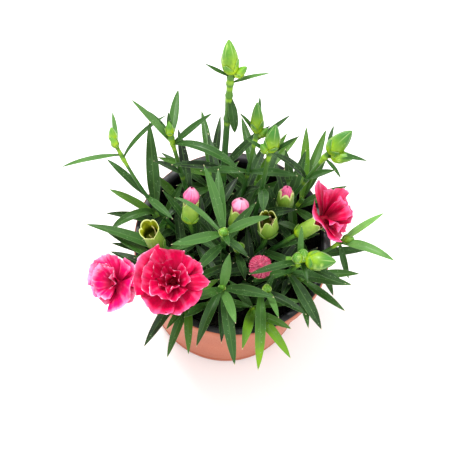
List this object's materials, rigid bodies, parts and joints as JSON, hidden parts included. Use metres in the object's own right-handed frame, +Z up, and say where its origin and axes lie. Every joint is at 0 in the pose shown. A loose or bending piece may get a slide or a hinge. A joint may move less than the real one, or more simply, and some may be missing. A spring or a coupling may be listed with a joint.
{
  "type": "dianthus plant",
  "caption": "Potted carnation plant with upright leafy stems, closed buds, pink bud tips, open ruffled blooms and spent calyces, in a round growing pot filled with soil.",
  "frame": {"origin": "centre of the pot's flat underside, on the surface that the pot stands on", "axes": "+Z up along the pot's axis, -Y towards the front where leaves hang over the rim, +X to the viewer's right"},
  "size_m": [0.2032, 0.1604, 0.2307],
  "materials": {
    "pot_plastic": "satin, moulded plastic",
    "potting_soil": "loose, damp and matte",
    "leaf_and_stem": "smooth leaf with a soft sheen",
    "young_leaf": "smooth leaf with a soft sheen",
    "petals": "velvety petal",
    "bud_petals": "velvety petal"
  },
  "bodies": {
    "root": {"pot": "pot_plastic", "soil": "potting_soil", "stem_tall_back": "leaf_and_stem", "stem_back_bud": "leaf_and_stem", "stem_back_second": "leaf_and_stem", "stem_right_back": "leaf_and_stem", "stem_far_left": "leaf_and_stem", "stem_left_back": "leaf_and_stem", "stem_centre": "leaf_and_stem", "stem_spent_left": "leaf_and_stem", "stem_bud_left": "leaf_and_stem", "stem_bud_mid": "leaf_and_stem", "stem_bud_right": "leaf_and_stem", "stem_bud_front": "leaf_and_stem", "stem_spent_right": "leaf_and_stem", "stem_bloom_front": "leaf_and_stem", "stem_bloom_left": "leaf_and_stem", "stem_bloom_right": "leaf_and_stem", "stem_far_right": "leaf_and_stem", "stem_cluster": "leaf_and_stem", "stem_front_bud": "leaf_and_stem", "stem_front_rosette": "leaf_and_stem", "stem_little_ball": "leaf_and_stem", "shoot_left": "young_leaf", "shoot_left_front": "young_leaf", "shoot_front_left": "young_leaf", "shoot_front_right": "young_leaf", "shoot_right": "young_leaf", "shoot_back_right": "young_leaf", "shoot_back": "young_leaf", "shoot_back_left": "young_leaf", "shoot_crown_1": "young_leaf", "shoot_crown_2": "young_leaf", "shoot_crown_3": "young_leaf", "shoot_crown_4": "young_leaf", "shoot_crown_5": "young_leaf", "bloom_front": "petals", "bloom_left": "petals", "bloom_right": "petals", "bud_tip_left": "bud_petals", "bud_tip_mid": "bud_petals", "bud_tip_right": "bud_petals", "bud_tip_front": "bud_petals"}
  },
  "joints": []
}
